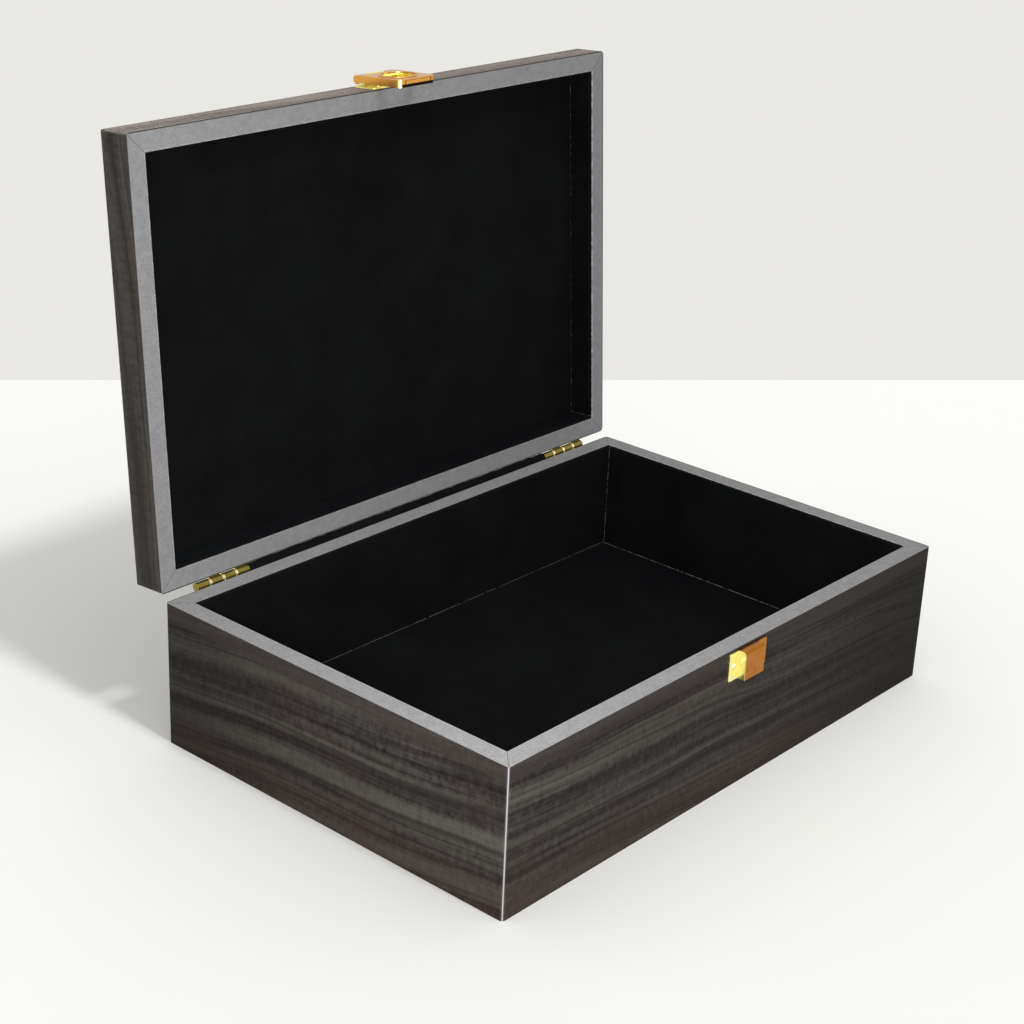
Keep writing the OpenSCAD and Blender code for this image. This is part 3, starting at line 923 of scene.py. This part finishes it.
FLOOR_TONE = srgb(249, 249, 245)
WALL_TONE = srgb(233, 232, 228)
FLOOR_REACH = 6.0
FLOOR_BELOW = 0.02 * MM
HORIZON_PX = 380
ROOM_LEVEL = 0.71
KEY_ELEVATION = math.radians(54)
KEY_SPREAD = 0.13
KEY_STRENGTH = 1.27
NEAR_PLACE = Vector((-0.42, -0.30, 0.30))
NEAR_SIZE = 0.15
NEAR_POWER = 5.0
STRIP_LIGHT_LENGTH = 0.4
STRIP_LIGHT_WIDTH = 0.06
STRIP_LIGHT_ABOVE = 0.45
STRIP_LIGHT_POWER = 7.0


def floor_point(u, v):
    """Point of the floor that the camera sees at a pixel."""
    ray = FORWARD + RIGHT * (u - IMAGE_PX / 2) / FOCAL_PX - TOP * (v - IMAGE_PX / 2) / FOCAL_PX
    return CAMERA_PLACE - ray * (CAMERA_PLACE.z / ray.z)


def make_floor():
    """Pale floor that ends along the photograph's horizon line."""
    edge_left = floor_point(0, HORIZON_PX)
    edge_right = floor_point(IMAGE_PX, HORIZON_PX)
    run = (edge_right - edge_left).normalized()
    near = Vector((run.y, -run.x, 0))
    if near.dot(CAMERA_PLACE - edge_left) < 0:
        near = -near
    first = edge_left - run * FLOOR_REACH
    last = edge_right + run * FLOOR_REACH
    corners = [first, last, last + near * FLOOR_REACH, first + near * FLOOR_REACH]
    mesh = bpy.data.meshes.new("floor")
    mesh.from_pydata([(p.x, p.y, -FLOOR_BELOW) for p in corners], [], [(0, 1, 2, 3)])
    floor = bpy.data.objects.new("floor", mesh)
    bpy.context.scene.collection.objects.link(floor)
    shader = Shader("floor")
    shader.put("Base Color", FLOOR_TONE)
    shader.put("Roughness", 0.9)
    shader.put("Specular IOR Level", 0.0)
    mesh.materials.append(shader.material)
    return floor


def make_room():
    """Even light all round, and the wall's tone where the camera, a mirror or glass looks past the floor."""
    world = bpy.data.worlds.new("room")
    bpy.context.scene.world = world
    world.use_nodes = True
    tree = world.node_tree
    shown = tree.nodes["Background"]
    shown.inputs["Color"].default_value = WALL_TONE
    lit = tree.nodes.new("ShaderNodeBackground")
    lit.inputs["Color"].default_value = (1, 1, 1, 1)
    lit.inputs["Strength"].default_value = ROOM_LEVEL
    path = tree.nodes.new("ShaderNodeLightPath")
    seen = path.outputs["Is Camera Ray"]
    for ray in ("Is Glossy Ray", "Is Transmission Ray"):
        either = tree.nodes.new("ShaderNodeMath")
        either.operation = "MAXIMUM"
        tree.links.new(seen, either.inputs[0])
        tree.links.new(path.outputs[ray], either.inputs[1])
        seen = either.outputs[0]
    choose = tree.nodes.new("ShaderNodeMixShader")
    tree.links.new(seen, choose.inputs[0])
    tree.links.new(lit.outputs[0], choose.inputs[1])
    tree.links.new(shown.outputs[0], choose.inputs[2])
    tree.links.new(choose.outputs[0], tree.nodes["World Output"].inputs["Surface"])


def sun_light(name, elevation, spread, strength):
    """Sun straight from the front, at an elevation, with soft shadow edges."""
    data = bpy.data.lights.new(name, "SUN")
    data.angle = spread
    data.energy = strength
    lamp = bpy.data.objects.new(name, data)
    lamp.rotation_euler = (math.pi / 2 - elevation, 0, 0)
    bpy.context.scene.collection.objects.link(lamp)


def area_light(name, place, length, width, power):
    """Soft rectangular light that faces down until it is turned."""
    data = bpy.data.lights.new(name, "AREA")
    data.shape = "RECTANGLE"
    data.size = length
    data.size_y = width
    data.energy = power
    lamp = bpy.data.objects.new(name, data)
    lamp.location = place
    lamp.visible_camera = False
    bpy.context.scene.collection.objects.link(lamp)
    return lamp


def limit_light(lamp, piece, state):
    """Lets a lamp light one piece alone with INCLUDE, or all but that piece with EXCLUDE."""
    linked = bpy.data.collections.new(f"{lamp.name}_linked")
    linked.objects.link(piece)
    lamp.light_linking.receiver_collection = linked
    linked.collection_objects[0].light_linking.link_state = state


def corner_light(floor):
    """Light near the front left corner, which leaves the floor as it is."""
    lamp = area_light("near_left", NEAR_PLACE, NEAR_SIZE, NEAR_SIZE, NEAR_POWER)
    aim = Vector((-HALF_W, -HALF_D, BASE_H))
    lamp.rotation_mode = "QUATERNION"
    lamp.rotation_quaternion = (aim - NEAR_PLACE).to_track_quat("-Z", "Y")
    limit_light(lamp, floor, "EXCLUDE")


def strip_light():
    """Long light over the open lid's front rail, for that rail alone."""
    lo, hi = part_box("lid_front_rail")
    place = (0, (lo.y + hi.y) / 2, hi.z + STRIP_LIGHT_ABOVE)
    lamp = area_light("lid_strip", place, STRIP_LIGHT_LENGTH, STRIP_LIGHT_WIDTH, STRIP_LIGHT_POWER)
    limit_light(lamp, NODES["lid_front_rail"], "INCLUDE")


stage_floor = make_floor()
make_room()
sun_light("key", KEY_ELEVATION, KEY_SPREAD, KEY_STRENGTH)
corner_light(stage_floor)
strip_light()

scene = bpy.context.scene
scene.view_settings.view_transform = "Standard"
